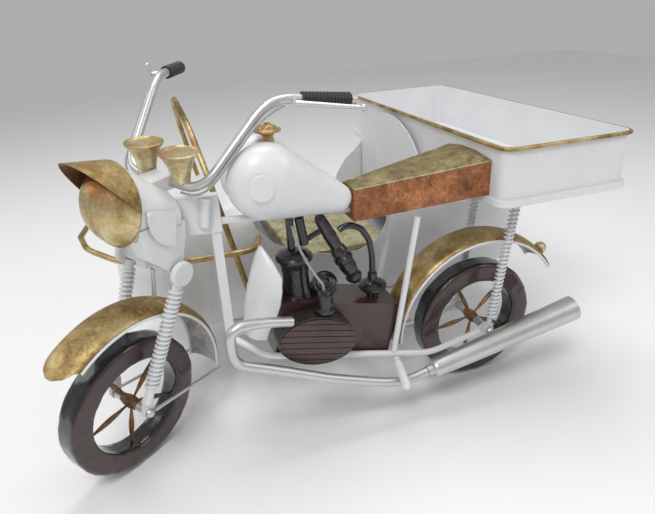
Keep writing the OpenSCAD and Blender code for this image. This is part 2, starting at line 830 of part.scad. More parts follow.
nose_x = -538;
ring_x = -400;
tail_x = 196;
body_low = 80;
tail_round = 72;

function deck_z(x) = 300 + 91 * max(0, x - ring_x) / (-33 - ring_x);

// One section of the sidecar body: nose shrinks it towards the tip, tail towards the back,
// 1 is full size; inset draws it in by a sheet's thickness.
function hull_section(x, nose, tail, inset, n = 32) =
    let (mid = 178,
         half = max(0.5, sidecar_half_w * nose * (0.72 + 0.28 * tail) - inset),
         top = max(0.5, (min(deck_z(x), 391) - mid) * nose - inset),
         low = max(0.5, (mid - body_low) * nose * (0.2 + 0.8 * tail) - inset))
    [for (i = [0:n - 1])
        let (a = 360 * i / n, c = cos(a), s = sin(a), power = s > 0 ? 0.42 : 0.62)
        [x, sidecar_y + half * sign(c) * pow(abs(c), power),
         mid + (s > 0 ? top : low) * sign(s) * pow(abs(s), power)]];

module sidecar_loft(inset, n = 32) {
    sections = concat(
        [for (k = [0:7]) let (a = 90 * k / 8)
            hull_section(ring_x + (nose_x + inset - ring_x) * cos(a), max(0.03, sin(a)), 1, inset, n)],
        [for (k = [0:5])
            hull_section(ring_x + (tail_x - tail_round - ring_x) * k / 5, 1, 1, inset, n)],
        [for (k = [1:6]) let (a = 90 * k / 6)
            hull_section(tail_x - tail_round + (tail_round - inset) * sin(a), 1, cos(a), inset, n)]);
    rings = len(sections);
    points = [for (ring = sections) each ring];
    walls = [for (i = [0:rings - 2]) for (k = [0:n - 1])
        let (j = (k + 1) % n) [i * n + k, (i + 1) * n + k, (i + 1) * n + j, i * n + j]];
    polyhedron(points, concat([[for (k = [0:n - 1]) k]], walls,
        [[for (k = [n - 1:-1:0]) (rings - 1) * n + k]]));
}

// Side view of what is cut away for the cockpit and, further back, for the tray.
cockpit_edge = [[-325, 420], [-325, 283], [-316, 262], [-290, 234], [-250, 213], [-205, 200], [-150, 195],
    [-118, 205], [-100, 228], [-85, 258], [-68, 284], [-50, 298], [-33.5, 316], [-33.5, 318.5],
    [220, 318.5], [220, 420]];

module sidecar_body() {
    color("white") difference() {
        sidecar_loft(0);
        sidecar_loft(sheet);
        plate_y(sidecar_y - 200, sidecar_y + 200) polygon(cockpit_edge);
    }
}

// Raised bead round the body where the nose is joined on.
module sidecar_bead() {
    width = 4;
    color("white") difference() {
        translate([ring_x - width / 2, 0, 0]) rotate([90, 0, 90]) linear_extrude(width)
            polygon([for (p = hull_section(ring_x, 1, 1, -3)) [p[1], p[2]]]);
        sidecar_loft(-0.15, 32);
    }
}

module sidecar_backrest() {
    half = sidecar_half_w + 5;
    low = sidecar_half_w - 5.6;
    color("white") translate([-32.4, 0, 0]) rotate([90, 0, 90]) linear_extrude(2.2) {
        intersection() {
            polygon([for (a = [0:6:354]) [sidecar_y + half * cos(a), 290 + 101 * sin(a)]]);
            translate([sidecar_y - 200, 318.8]) square([400, 200]);
        }
        translate([sidecar_y - low, 190]) square([2 * low, 130]);
    }
}

module sidecar_seat() {
    half = sidecar_half_w - 4;
    color("darkkhaki") difference() {
        translate([0, 0, 180]) linear_extrude(25)
            rounded_rect([-262, sidecar_y - half], [-90, sidecar_y + half], 45);
        translate([0, 0, 179]) linear_extrude(26 - sheet)
            rounded_rect([-262 + sheet, sidecar_y - half + sheet],
                [-90 - sheet, sidecar_y + half - sheet], 45 - sheet);
    }
}

bumper_route = [[-316, 122, 252], [-330, 77, 251], [-433, 82, 250], [-523, 122, 250], [-572, 195, 250],
    [-583, 255, 250]];

module bumper_tube() {
    near = rounded(bumper_route, 22, 5);
    far = [for (i = [len(near) - 2:-1:0]) [near[i][0], 2 * sidecar_y - near[i][1], near[i][2]]];
    color("darkgoldenrod") tube(concat(near, far), 4.5, [0, 0, 1], 12);
}

hoop_corners = [[-345, 88, 172], [-366, 88, 275], [-384, 92, 366], [-396, 150, 430], [-401, 255, 452]];

module windshield_hoop() {
    near = rounded(hoop_corners, 24, 5);
    far = [for (i = [len(near) - 2:-1:0]) [near[i][0], 2 * sidecar_y - near[i][1], near[i][2]]];
    color("darkgoldenrod") {
        tube(concat(near, far), 4.5, [1, 0, 0], 12);
        for (y = [88, 2 * sidecar_y - 88]) {
            side = y < sidecar_y ? 1 : -1;
            rod([-345, y + side * 2, 176], [-345, y + side * 37, 176], 3);
        }
    }
}

module sidecar_chassis() {
    color("white") {
        rod([-330, 44, 134], [-330, 170, 76], 6);
        rod([-90, 46, 84], [-90, 170, 76], 6);
        // floor beam and axle of the side wheel
        translate([-372, 178, 68]) cube([400, 12, 11]);
        rod([-62, 190, 74], [-62, 385, 74], 6);
        translate(side_wheel_at) rotate([-90, 0, 0]) translate([0, 0, -42]) cylinder(r = axle_r, h = 62.5);
        translate([-70, 381, 68]) cube([16, 4, 44]);
    }
}

// ---------- drawing ----------

module placed() translate(ORIGIN_SHIFT) children();

placed() neck_bracket();
placed() down_tube();
placed() top_tube();
placed() lower_tubes();
placed() seat_stays();
placed() tank_shell();
placed() tank_badges();
placed() filler_cap();
placed() seat_body();
placed() seat_cover();
placed() crankcase();
placed() side_cover();
placed() engine_cylinder();
placed() carburettor_dome();
placed() spark_plug();
placed() plug_cable();
placed() intake_pipe();
placed() spindle_pipe();
placed() air_cleaner();
placed() breather_hose();
placed() leg_shield();
placed() exhaust_pipe();
placed() muffler();
placed() footpegs();
placed() rear_axle();
placed() rear_fender();
placed() tail_lamp();
placed() shock_rods();
placed() shock_springs();
placed() tray_tub();
placed() tray_rim();
placed() tray_base();
placed() sidecar_body();
placed() sidecar_bead();
placed() sidecar_backrest();
placed() sidecar_seat();
placed() bumper_tube();
placed() windshield_hoop();
placed() sidecar_chassis();
placed() fork_crown();
placed() lamp_bucket();
placed() nacelle_skirt();
placed() lamp_dome();
placed() lamp_visor();
placed() handlebar();
placed() grips();
placed() levers();
placed() gauges();
placed() brake_cables();
placed() fork_legs();
placed() fork_springs();
placed() front_axle();
placed() front_fender();
placed() fender_stays();
placed() tyre_front();
placed() wheel_front();
placed() tyre_rear();
placed() wheel_rear();
placed() tyre_side();
placed() wheel_side();
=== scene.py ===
"""Display motorcycle in beaten sheet metal, with a sidecar and a wide rear tray: its looks."""

import json
import math

import bmesh
import bpy
from mathutils import Matrix, Vector


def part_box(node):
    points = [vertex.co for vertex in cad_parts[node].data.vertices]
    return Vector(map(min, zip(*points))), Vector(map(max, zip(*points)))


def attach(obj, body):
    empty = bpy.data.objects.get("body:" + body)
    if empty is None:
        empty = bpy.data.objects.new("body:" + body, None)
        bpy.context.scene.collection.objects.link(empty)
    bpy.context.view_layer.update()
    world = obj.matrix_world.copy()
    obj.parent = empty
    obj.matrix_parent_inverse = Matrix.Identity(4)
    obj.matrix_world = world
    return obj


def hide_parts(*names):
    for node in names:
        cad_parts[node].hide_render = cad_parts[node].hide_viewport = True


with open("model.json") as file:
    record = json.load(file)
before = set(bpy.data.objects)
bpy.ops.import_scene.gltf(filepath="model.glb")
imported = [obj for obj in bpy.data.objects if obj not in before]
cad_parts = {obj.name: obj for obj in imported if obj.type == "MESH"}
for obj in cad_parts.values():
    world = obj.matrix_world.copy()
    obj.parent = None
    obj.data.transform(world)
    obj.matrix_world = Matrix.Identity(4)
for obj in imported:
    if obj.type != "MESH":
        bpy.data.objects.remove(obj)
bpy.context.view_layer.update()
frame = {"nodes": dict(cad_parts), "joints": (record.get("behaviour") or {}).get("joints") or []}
bpy.ops.object.select_all(action="DESELECT")

MM = 0.001
joints = {j["name"]: j for j in frame["joints"]}
rear_hub = Vector(joints["rear_wheel_spin"]["pos_m"])
front_hub = Vector(joints["front_wheel_spin"]["pos_m"])
side_hub = Vector(joints["sidecar_wheel_spin"]["pos_m"])
steering_line = Vector(joints["steering"]["axis"])
STEER = math.radians(37.35)
SHEET = 1.2


def at(x, y, z):
    """A point given in millimetres from the rear wheel's foot."""
    return Vector((rear_hub.x + x * MM, rear_hub.y + y * MM, z * MM))


STEERED = Matrix.Translation(front_hub) @ Matrix.Rotation(STEER, 4, steering_line) @ Matrix.Scale(MM, 4)
FIXED = Matrix.Translation(at(0, 0, 0)) @ Matrix.Scale(MM, 4)
REAR_WHEEL = Matrix.Translation(rear_hub) @ Matrix.Scale(MM, 4)
SIDE_WHEEL = Matrix.Translation(side_hub) @ Matrix.Scale(MM, 4)


# ---------- finishes ----------


class Value:
    """A shader value. The usual operators add Math nodes to its finish."""

    def __init__(self, finish, socket):
        self.finish = finish
        self.socket = socket

    def _math(self, operation, first, second):
        return self.finish.add("Math", {"operation": operation}, {0: first, 1: second})

    def __add__(self, other):
        return self._math("ADD", self, other)

    __radd__ = __add__

    def __sub__(self, other):
        return self._math("SUBTRACT", self, other)

    def __rsub__(self, other):
        return self._math("SUBTRACT", other, self)

    def __mul__(self, other):
        return self._math("MULTIPLY", self, other)

    __rmul__ = __mul__

    def __truediv__(self, other):
        return self._math("DIVIDE", self, other)

    def between(self, low, high):
        """0 below low, 1 above high, with a soft step between them."""
        ends = {"Value": self, "From Min": low, "From Max": high}
        return self.finish.add("MapRange", {"interpolation_type": "SMOOTHSTEP"}, ends)


class Finish:
    """A material, with one method that adds any node."""

    def __init__(self, name):
        self.material = bpy.data.materials.new(name)
        self.material.use_nodes = True
        self.tree = self.material.node_tree
        self.shader = self.tree.nodes["Principled BSDF"]
        self.place = self.add("TexCoord", {}, {}, "Object")

    def add(self, kind, settings, inputs, output=0):
        node = self.tree.nodes.new("ShaderNode" + kind)
        for key, value in settings.items():
            if key == "stops":
                ramp = node.color_ramp.elements
                while len(ramp) < len(value):
                    ramp.new(0.5)
                for stop, (position, colour) in zip(ramp, value):
                    stop.position = position
                    stop.color = (*colour, 1)
            else:
                setattr(node, key, value)
        for key, value in inputs.items():
            self.feed(node.inputs[key], value)
        return Value(self, node.outputs[output])

    def feed(self, socket, value):
        if isinstance(value, Value):
            self.tree.links.new(value.socket, socket)
        elif value is not None:
            socket.default_value = value

    def noise(self, scale, detail=3, rough=0.55, place=None, distortion=0.0):
        return self.add(
            "TexNoise",
            {},
            {
                "Vector": place or self.place,
                "Scale": scale,
                "Detail": detail,
                "Roughness": rough,
                "Distortion": distortion,
            },
            "Fac",
        )

    def ramp(self, value, *stops):
        return self.add("ValToRGB", {"stops": stops}, {"Fac": value}, "Color")

    def mix(self, amount, first, second):
        colours = {6: first if isinstance(first, Value) else (*first, 1)}
        colours[7] = second if isinstance(second, Value) else (*second, 1)
        return self.add("Mix", {"data_type": "RGBA"}, {0: amount, **colours}, 2)

    def bump(self, height, depth, strength=1.0, under=None):
        inputs = {"Height": height, "Distance": depth, "Strength": strength}
        if under:
            inputs["Normal"] = under
        return self.add("Bump", {}, inputs)

    def set(self, **sockets):
        for name, value in sockets.items():
            socket = self.shader.inputs[name.replace("_", " ")]
            if isinstance(value, tuple) and len(value) == 3:
                value = (*value, 1)
            self.feed(socket, value)
        return self.material


def white_enamel():
    f = Finish("white_enamel")
    broad = f.noise(9, 4)
    fine = f.noise(60, 4, 0.6)
    chips = f.noise(150, 3, 0.7).between(0.735, 0.76)
    grime = f.noise(26, 6, 0.7).between(0.55, 0.8)
    clean = f.mix(broad, (0.66, 0.67, 0.69), (0.83, 0.835, 0.84))
    dusty = f.mix(grime * 0.22, clean, (0.42, 0.41, 0.39))
    colour = f.mix(chips, dusty, (0.05, 0.035, 0.03))
    dents = f.bump(f.noise(30, 2, 0.4), 0.004, 0.35)
    skin = f.bump(fine, 0.0004, 0.35, dents)
    rough = 0.3 + 0.16 * fine + 0.3 * chips
    return f.set(Base_Color=colour, Roughness=rough, Coat_Weight=0.3, Coat_Roughness=0.12, Normal=skin)


def antique_brass(name="antique_brass", bright=0.0, coppery=0.0):
    """Patinated brass: bright lifts its polish, coppery turns its hollows red."""
    f = Finish(name)
    cloud = f.noise(22, 5, 0.62, distortion=0.3)
    grain = f.noise(210, 5, 0.75)
    speck = f.noise(420, 3, 0.7).between(0.60, 0.68)
    tone = cloud * 0.62 + grain * 0.38 + bright
    colour = f.ramp(
        tone,
        (0.30, (0.075, 0.047, 0.018)),
        (0.45, (0.26, 0.175, 0.065)),
        (0.55, (0.47, 0.345, 0.145)),
        (0.72, (0.74, 0.64, 0.40)),
    )
    colour = f.mix(f.noise(12, 3, 0.5).between(0.52, 0.62) * coppery, colour, (0.50, 0.15, 0.05))
    colour = f.mix(speck * 0.7, colour, (0.05, 0.033, 0.016))
    dents = f.bump(f.noise(34, 2, 0.4), 0.003, 0.4)
    skin = f.bump(grain, 0.0006, 0.5, dents)
    rough = 0.52 - bright - 0.28 * cloud + 0.2 * grain
    return f.set(Base_Color=colour, Metallic=0.86 - 0.3 * speck, Roughness=rough, Normal=skin)


def rusty_copper(name, dark, mid, light, metallic):
    f = Finish(name)
    cloud = f.noise(34, 6, 0.72, distortion=0.5)
    grain = f.noise(260, 5, 0.75)
    tone = cloud * 0.6 + grain * 0.4
    colour = f.ramp(tone, (0.34, dark), (0.5, mid), (0.66, light))
    streak = f.noise(90, 4, 0.6).between(0.6, 0.7)
    colour = f.mix(streak * 0.5, colour, dark)
    skin = f.bump(tone, 0.0010, 0.6)
    return f.set(Base_Color=colour, Metallic=metallic, Roughness=0.40 + 0.25 * grain, Normal=skin)


def gloss_black(name, tint, roughness=0.2, base=(0.008, 0.008, 0.010)):
    f = Finish(name)
    broad = f.noise(24, 4, 0.6)
    fine = f.noise(120, 4, 0.6)
    colour = f.mix(broad.between(0.35, 0.7), base, tint)
    dust = f.noise(300, 3, 0.6).between(0.62, 0.72)
    colour = f.mix(dust * 0.06, colour, (0.25, 0.24, 0.23))
    dents = f.bump(f.noise(45, 2, 0.5), 0.003, 0.5)
    skin = f.bump(fine, 0.0006, 0.4, dents)
    rough = roughness + 0.25 * fine
    return f.set(Base_Color=colour, Roughness=rough, Coat_Weight=0.6, Coat_Roughness=0.1, Normal=skin)


def satin_steel():
    f = Finish("satin_steel")
    broad = f.noise(18, 4, 0.6)
    fine = f.noise(500, 3, 0.7)
    colour = f.mix(broad, (0.50, 0.50, 0.49), (0.76, 0.76, 0.74))
    stain = f.noise(70, 5, 0.7).between(0.62, 0.78)
    colour = f.mix(stain * 0.5, colour, (0.22, 0.19, 0.16))
    skin = f.bump(fine, 0.0003, 0.4)
    return f.set(Base_Color=colour, Metallic=0.92, Roughness=0.24 + 0.2 * broad + 0.1 * fine, Normal=skin)


def black_rubber():
    f = Finish("grip_rubber")
    fine = f.noise(400, 3, 0.6)
    colour = f.mix(fine, (0.010, 0.010, 0.010), (0.035, 0.034, 0.034))
    return f.set(Base_Color=colour, Roughness=0.35 + 0.25 * fine, Normal=f.bump(fine, 0.0003, 0.5))


def grey_sleeve():
    f = Finish("cable_sleeve")
    fine = f.noise(300, 3, 0.6)
    colour = f.mix(fine, (0.20, 0.21, 0.22), (0.42, 0.43, 0.45))
    return f.set(Base_Color=colour, Roughness=0.3 + 0.2 * fine, Normal=f.bump(fine, 0.0002, 0.4))


WHITE = white_enamel()
BRASS = antique_brass(bright=0.03, coppery=0.12)
BRIGHT_BRASS = antique_brass("bright_brass", bright=0.13, coppery=0.6)
COPPER = rusty_copper("spindle_copper", (0.05, 0.025, 0.014), (0.24, 0.12, 0.055), (0.48, 0.30, 0.15), 0.75)
SEAT_SIDE = rusty_copper("seat_side_rust", (0.075, 0.03, 0.016), (0.33, 0.12, 0.045), (0.62, 0.3, 0.13), 0.35)
SEAT_TOP = rusty_copper("seat_top_brass", (0.06, 0.045, 0.02), (0.26, 0.20, 0.09), (0.50, 0.42, 0.22), 0.6)
ENGINE_BLACK = gloss_black("engine_black", (0.020, 0.015, 0.016), 0.14)
# Maroon on the engine's black paint: a painted reflection of a brown ground.
ENGINE_PAINTED_REFLECTION = gloss_black("engine_painted_reflection", (0.055, 0.022, 0.018), 0.3, (0.035, 0.012, 0.010))
TREAD_BLACK = gloss_black("tyre_tread_black", (0.014, 0.012, 0.013), 0.12)
# Maroon on the tyres' black sides: a painted reflection of a brown ground.
TYRE_SIDE_REFLECTION = gloss_black("tyre_side_painted_reflection", (0.050, 0.022, 0.020), 0.2, (0.032, 0.013, 0.012))
VISOR_INSIDE = rusty_copper("visor_inside", (0.05, 0.018, 0.01), (0.15, 0.06, 0.03), (0.30, 0.13, 0.07), 0.5)
INNER_GREY = rusty_copper("fender_inside", (0.16, 0.14, 0.12), (0.42, 0.41, 0.40), (0.66, 0.66, 0.66), 0.3)
PALE_BRASS = rusty_copper("pale_brass", (0.10, 0.085, 0.04), (0.42, 0.38, 0.22), (0.68, 0.64, 0.44), 0.45)
STEEL = satin_steel()
RUBBER = black_rubber()
CABLE = grey_sleeve()


# ---------- shop tools ----------


def only(piece):
    """Selects one piece and makes it the active one."""
    bpy.ops.object.select_all(action="DESELECT")
    piece.select_set(True)
    bpy.context.view_layer.objects.active = piece
    return piece


def active(name):
    piece = bpy.context.object
    piece.name = name
    piece.data.name = name
    return only(piece)


def settle(piece, frame_of):
    """Moves a piece that was made in millimetres to its place, with the place kept in its mesh."""
    only(piece)
    piece.matrix_world = frame_of @ piece.matrix_world
    bpy.ops.object.transform_apply(location=True, rotation=True, scale=True)
    return piece


def finish_with(piece, kind, **settings):
    """Adds a modifier and applies it."""
    only(piece)
    modifier = piece.modifiers.new(kind.title(), kind)
    for key, value in settings.items():
        setattr(modifier, key, value)
    bpy.ops.object.modifier_apply(modifier=modifier.name)
    return piece


def clean(piece, join=0.0001):
    """Merges doubled points and turns every face outwards."""
    only(piece)
    bpy.ops.object.mode_set(mode="EDIT")
    bpy.ops.mesh.select_all(action="SELECT")
    bpy.ops.mesh.remove_doubles(threshold=join)
    bpy.ops.mesh.normals_make_consistent(inside=False)
    bpy.ops.object.mode_set(mode="OBJECT")
    return piece


def soften(piece, width, segments):
    """Bevels the sharp edges of a piece; width is in the piece's own units."""
    limit = math.radians(50)
    return finish_with(
        piece, "BEVEL", width=width, segments=segments, limit_method="ANGLE", angle_limit=limit
    )


def smooth(piece, angle=40):
    only(piece)
    bpy.ops.object.shade_smooth_by_angle(angle=math.radians(angle))
    return piece


def joined(name, pieces):
    bpy.ops.object.select_all(action="DESELECT")
    for piece in pieces:
        piece.select_set(True)
    bpy.context.view_layer.objects.active = pieces[0]
    bpy.ops.object.join()
    return active(name)


def hand_in(piece, body, slot, nodes, *finishes):
    """Gives a finished piece its materials and its place in the frame."""
    if finishes:
        piece.data.materials.clear()
        for finish in finishes:
            piece.data.materials.append(finish)
    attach(piece, body)
    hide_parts(*nodes)
    return piece


def dress(finish, *nodes):
    """Gives CAD nodes that are shown as they are their material."""
    for node in nodes:
        piece = frame["nodes"][node]
        piece.data.materials.clear()
        piece.data.materials.append(finish)


def smoothed(node, body, slot, finish, angle=40):
    """A copy of a CAD node with its facets merged and softened."""
    copy = frame["nodes"][node].copy()
    copy.data = copy.data.copy()
    copy.parent = None
    for key in list(copy.keys()):
        del copy[key]
    bpy.context.scene.collection.objects.link(copy)
    copy.name = node + "_smooth"
    only(copy)
    bpy.ops.object.mode_set(mode="EDIT")
    bpy.ops.mesh.select_all(action="SELECT")
    bpy.ops.mesh.remove_doubles(threshold=0.00002)
    bpy.ops.mesh.customdata_custom_splitnormals_clear()
    bpy.ops.object.mode_set(mode="OBJECT")
    smooth(copy, angle)
    return hand_in(copy, body, slot, [node], finish)


# ---------- shown CAD nodes ----------

dress(WHITE, "neck_bracket", "down_tube", "top_tube", "seat_stays", "tank_badges", "footpegs", "shock_rods")
dress(WHITE, "tray_tub", "tray_base", "sidecar_bead", "sidecar_backrest", "sidecar_chassis")
dress(WHITE, "fork_crown", "lamp_bucket", "nacelle_skirt", "fork_legs")
dress(BRASS, "tray_rim")
dress(BRIGHT_BRASS, "filler_cap", "tail_lamp", "lamp_dome", "gauges")
dress(ENGINE_BLACK, "spark_plug", "engine_cylinder", "carburettor_dome", "intake_pipe", "spindle_pipe")
dress(ENGINE_BLACK, "air_cleaner")
# The crankcase carries that painted maroon reflection all over.
dress(ENGINE_PAINTED_REFLECTION, "crankcase")
dress(STEEL, "muffler", "rear_axle", "levers", "front_axle", "fender_stays")
dress(RUBBER, "grips")
dress(COPPER, "wheel_front", "wheel_rear", "wheel_side")

for round_node, round_body, round_slot, round_finish in (
    ("handlebar", "steering", "steel", STEEL),
    ("brake_cables", "steering", "cable", CABLE),
    ("plug_cable", "frame", "cable", CABLE),
    ("breather_hose", "frame", "black", ENGINE_BLACK),
    ("exhaust_pipe", "frame", "steel", STEEL),
    ("bumper_tube", "frame", "brass", BRASS),
    ("windshield_hoop", "frame", "brass", BRASS),
    ("lower_tubes", "frame", "white", WHITE),
    ("sidecar_body", "frame", "white", WHITE),
    ("leg_shield", "frame", "white", WHITE),
):
    smoothed(round_node, round_body, round_slot, round_finish)


# ---------- springs ----------


def coil(foot, top, inner, wire, pitch):
    """A wire coil wound from foot to top, in millimetres."""
    foot = Vector(foot)
    top = Vector(top)
    length = (top - foot).length
    turns = round(length / pitch)
    bpy.ops.mesh.primitive_circle_add(
        vertices=8, radius=wire, location=(inner + wire, 0, 0), rotation=(math.pi / 2, 0, 0)
    )
    bpy.ops.object.transform_apply(location=True, rotation=True, scale=True)
    piece = bpy.context.object
    finish_with(
        piece, "SCREW", angle=2 * math.pi, screw_offset=length / turns, iterations=turns,
        steps=22, render_steps=22,
    )
    piece.matrix_world = Matrix.Translation(foot) @ (top - foot).to_track_quat("Z", "Y").to_matrix().to_4x4()
    return piece


def spring_pair(name, foot, top, inner, wire, pitch, frame_of, body, node):
    pair = []
    for side in (-1, 1):
        across = Vector((1, side, 1))
        pair.append(coil(foot * across, top * across, inner, wire, pitch))
    for piece in pair:
        only(piece)
        bpy.ops.object.transform_apply(location=True, rotation=True, scale=True)
    both = settle(joined(name, pair), frame_of)
    clean(both, 0.00002)
    smooth(both, 60)
    hand_in(both, body, "white", [node], WHITE)


FORK_FOOT = Vector((1, 34, 15))
FORK_TOP = Vector((70, 46, 179))
fork_run = FORK_TOP - FORK_FOOT
fork_ends = (FORK_FOOT + 0.14 * fork_run, FORK_FOOT + 0.92 * fork_run)
spring_pair("fork_coils", *fork_ends, 6.0, 1.7, 6.2, STEERED, "steering", "fork_springs")
SHOCK_FOOT = Vector((0, 46.5, 100))
SHOCK_TOP = Vector((30, 50, 318.5))
shock_run = SHOCK_TOP - SHOCK_FOOT
shock_ends = (SHOCK_FOOT + 0.1 * shock_run, SHOCK_FOOT + 0.97 * shock_run)
spring_pair("shock_coils", *shock_ends, 4.6, 1.5, 6.6, FIXED, "frame", "shock_springs")

# ---------- tyres ----------

TYRE_R = 100
TYRE_HOLE_R = 67
TYRE_HALF = 18.25
SIDE_FACING = 0.62  # how squarely a face looks sideways before it takes the painted maroon reflection of a brown ground


def tyre(name, frame_of, body, node, turn):
    """A ring of beaten sheet: flat tread and sides, rounded edges, hammer marks all over."""
    bpy.ops.mesh.primitive_plane_add(size=1, location=((TYRE_R + TYRE_HOLE_R) / 2, 0, 0))
    piece = active(name)
    piece.scale = (TYRE_R - TYRE_HOLE_R, 2 * TYRE_HALF, 1)
    bpy.ops.object.transform_apply(location=True, rotation=True, scale=True)
    bpy.ops.object.mode_set(mode="EDIT")
    bpy.ops.mesh.select_all(action="SELECT")
    bpy.ops.mesh.bevel(offset=8, segments=5, affect="VERTICES")
    bpy.ops.mesh.delete(type="ONLY_FACE")
    bpy.ops.mesh.select_all(action="SELECT")
    bpy.ops.mesh.subdivide(number_cuts=5)
    bpy.ops.mesh.spin(steps=112, angle=2 * math.pi, center=(0, 0, 0), axis=(0, 1, 0))
    bpy.ops.mesh.select_all(action="SELECT")
    bpy.ops.mesh.remove_doubles(threshold=0.05)
    bpy.ops.mesh.normals_make_consistent(inside=False)
    bpy.ops.object.mode_set(mode="OBJECT")
    piece.rotation_euler = (0, turn, 0)
    bpy.ops.object.transform_apply(location=True, rotation=True, scale=True)
    hammer = bpy.data.textures.new("hammer_marks", "CLOUDS")
    hammer.noise_scale = 13
    hammer.noise_depth = 1
    finish_with(piece, "DISPLACE", texture=hammer, strength=1.8, mid_level=1.0, texture_coords="LOCAL")
    piece.data.materials.append(TREAD_BLACK)
    piece.data.materials.append(TYRE_SIDE_REFLECTION)
    # Faces that look squarely sideways take the painted maroon reflection; the rest stay tread black.
    for face in piece.data.polygons:
        face.material_index = int(abs(face.normal.y) > SIDE_FACING)
    settle(piece, frame_of)
    smooth(piece, 50)
    hand_in(piece, body, "tyre", [node])


tyre("beaten_tyre_front", STEERED, "front_wheel", "tyre_front", 0.0)
tyre("beaten_tyre_rear", REAR_WHEEL, "rear_wheel", "tyre_rear", 1.1)
tyre("beaten_tyre_side", SIDE_WHEEL, "sidecar_wheel", "tyre_side", 2.3)

# ---------- fenders ----------

FENDER_HALF = 29


def fender(name, frame_of, body, node, edge_r, crown_r, first, last, tip):
    """A crowned arc of sheet over a wheel, with a wire rolled into each edge and a rounded tip."""
    half = FENDER_HALF
    bpy.ops.mesh.primitive_circle_add(vertices=36, radius=1)
    piece = active(name)
    piece.scale = (crown_r - edge_r, half, 1)
    bpy.ops.object.transform_apply(location=True, rotation=True, scale=True)
    bpy.ops.object.mode_set(mode="EDIT")
    bpy.ops.mesh.select_all(action="SELECT")
    bpy.ops.mesh.bisect(plane_co=(-0.01, 0, 0), plane_no=(1, 0, 0), clear_inner=True)
    bpy.ops.mesh.select_all(action="SELECT")
    bpy.ops.transform.translate(value=(edge_r, 0, 0))
    arc = math.radians(last - first)
    bpy.ops.mesh.spin(steps=56, angle=arc, center=(0, 0, 0), axis=(0, 1, 0))
    bpy.ops.object.mode_set(mode="OBJECT")
    piece.rotation_euler = (0, -math.radians(first), 0)
    bpy.ops.object.transform_apply(location=True, rotation=True, scale=True)
    clean(piece, 0.05)
    round_off(piece, crown_r, half, last, tip)
    for finish in (BRASS, INNER_GREY):
        piece.data.materials.append(finish)
    finish_with(piece, "SOLIDIFY", thickness=SHEET, offset=-1, material_offset=1)
    wires = []
    for side in (-1, 1):
        rim = (edge_r - 1, side * (half - 0.4), 0)
        bpy.ops.mesh.primitive_circle_add(vertices=10, radius=2, location=rim)
        bpy.ops.object.transform_apply(location=True, rotation=True, scale=True)
        wire = active(name + "_wire")
        bpy.ops.object.mode_set(mode="EDIT")
        bpy.ops.mesh.select_all(action="SELECT")
        bpy.ops.mesh.spin(steps=48, angle=arc - math.radians(tip), center=(0, 0, 0), axis=(0, 1, 0))
        bpy.ops.object.mode_set(mode="OBJECT")
        wire.rotation_euler = (0, -math.radians(first), 0)
        bpy.ops.object.transform_apply(location=True, rotation=True, scale=True)
        wires.append(clean(wire, 0.02))
    piece = settle(joined(name, [piece] + wires), frame_of)
    smooth(piece, 45)
    hand_in(piece, body, "brass", [node])


def round_off(piece, crown_r, half, last, tip):
    """Cuts the corners of a fender's tip back by as many degrees as tip says."""
    if not tip:
        return
    only(piece)
    bpy.ops.object.mode_set(mode="EDIT")
    for side in (-1, 1):
        for share, lean in ((0.35, 28), (0.72, 55)):
            edge = math.radians(last - tip * (share * share))
            point = (crown_r * math.cos(edge), side * half * share, crown_r * math.sin(edge))
            along = Vector((-math.sin(edge), 0, math.cos(edge)))
            angle = math.radians(lean)
            normal = along * math.cos(angle) + Vector((0, side * math.sin(angle), 0))
            bpy.ops.mesh.select_all(action="SELECT")
            bpy.ops.mesh.bisect(plane_co=point, plane_no=normal, clear_outer=True)
    bpy.ops.object.mode_set(mode="OBJECT")


fender("front_fender_sheet", STEERED, "steering", "front_fender", 137, 148, -9, 131, 9)
fender("rear_fender_sheet", REAR_WHEEL, "frame", "rear_fender", 143, 152, 33, 180, 0)

# ---------- tank ----------


TANK_FRONT = ((-328, 24, 384), 49.6, 0.68)  # centre, radius, how flat across
TANK_REAR = ((-233, 17, 346), 20.2, 0.8)


def tank():
    """Two tear-shaped halves, seamed together along the middle."""
    halves = []
    for side in (-1, 1):
        balls = []
        for place, radius, squash in (TANK_FRONT, TANK_REAR):
            bpy.ops.mesh.primitive_uv_sphere_add(
                segments=64, ring_count=32, radius=radius, location=(place[0], side * place[1], place[2])
            )
            bpy.context.object.scale = (1, squash, 1)
            bpy.ops.object.transform_apply(location=True, rotation=True, scale=True)
            balls.append(bpy.context.object)
        half = joined("tank_half", balls)
        bpy.ops.object.mode_set(mode="EDIT")
        bpy.ops.mesh.select_all(action="SELECT")
        bpy.ops.mesh.convex_hull()
        bpy.ops.object.mode_set(mode="OBJECT")
        halves.append(half)
    piece = joined("tank_sheet", halves)
    finish_with(piece, "REMESH", mode="VOXEL", voxel_size=1.5, adaptivity=0)
    finish_with(piece, "SMOOTH", factor=0.5, iterations=6)
    dents = bpy.data.textures.new("tank_dents", "CLOUDS")
    dents.noise_scale = 26
    dents.noise_depth = 0
    finish_with(piece, "DISPLACE", texture=dents, strength=0.9, mid_level=1.0, texture_coords="LOCAL")
    settle(piece, FIXED)
    bpy.ops.object.shade_smooth()
    hand_in(piece, "frame", "white", ["tank_shell"], WHITE)


tank()

# ---------- lamp visor ----------


LAMP_RIM = Vector((27, 0, 283))
LAMP_PITCH = math.radians(12)


